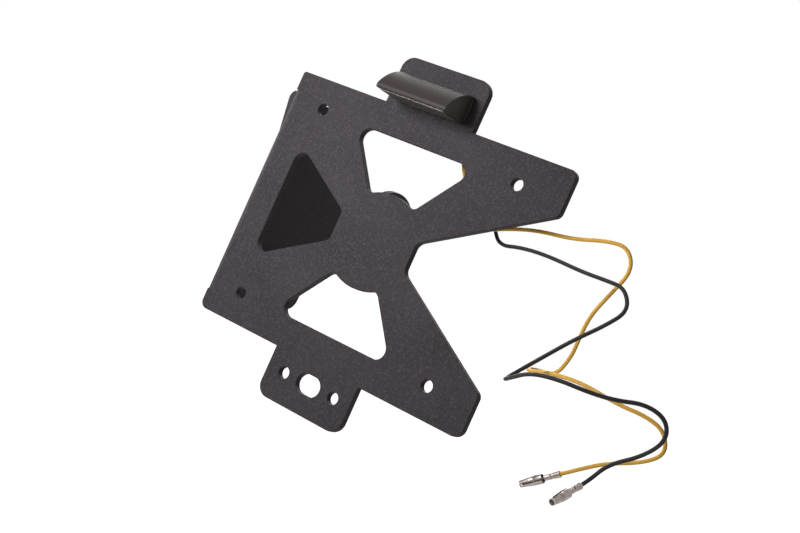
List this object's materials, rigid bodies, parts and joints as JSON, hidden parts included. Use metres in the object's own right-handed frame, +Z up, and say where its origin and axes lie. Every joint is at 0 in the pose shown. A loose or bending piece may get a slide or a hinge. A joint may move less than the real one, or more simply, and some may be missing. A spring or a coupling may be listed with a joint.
{
  "type": "side licence plate holder",
  "caption": "Folded black sheet plate with cut-out windows, lamp tabs and a notch, on a side arm with an axle eye; a plate lamp with two wires sits on the upper tab.",
  "frame": {"origin": "centre of the axle eye at the arm's outer face", "axes": "+X to the right across the plate, +Y from the plate's front face backwards along the arm, +Z up; the axle runs along X"},
  "size_m": [0.2649, 0.2039, 0.1794],
  "materials": {
    "powder_coat": "fine textured matt",
    "zinc_steel": "zinc plated",
    "lamp_plastic": "satin",
    "clear_lens": "clear",
    "board_laminate": "satin",
    "led_body": "gloss",
    "black_rubber": "matt",
    "yellow_insulation": "satin",
    "black_insulation": "satin",
    "tinned_brass": "tinned"
  },
  "bodies": {
    "root": {"holder_plate": "powder_coat", "mounting_arm": "powder_coat", "arm_bolts": "zinc_steel", "arm_washers": "zinc_steel", "arm_nuts": "zinc_steel", "lamp_housing": "lamp_plastic", "lamp_lens": "clear_lens", "lamp_board": "board_laminate", "lamp_leds": "led_body", "lamp_studs": "zinc_steel", "lamp_washers": "zinc_steel", "lamp_nuts": "zinc_steel", "wire_grommet": "black_rubber", "yellow_wire": "yellow_insulation", "black_wire": "black_insulation", "yellow_connector": "tinned_brass", "black_connector": "tinned_brass"}
  },
  "joints": []
}
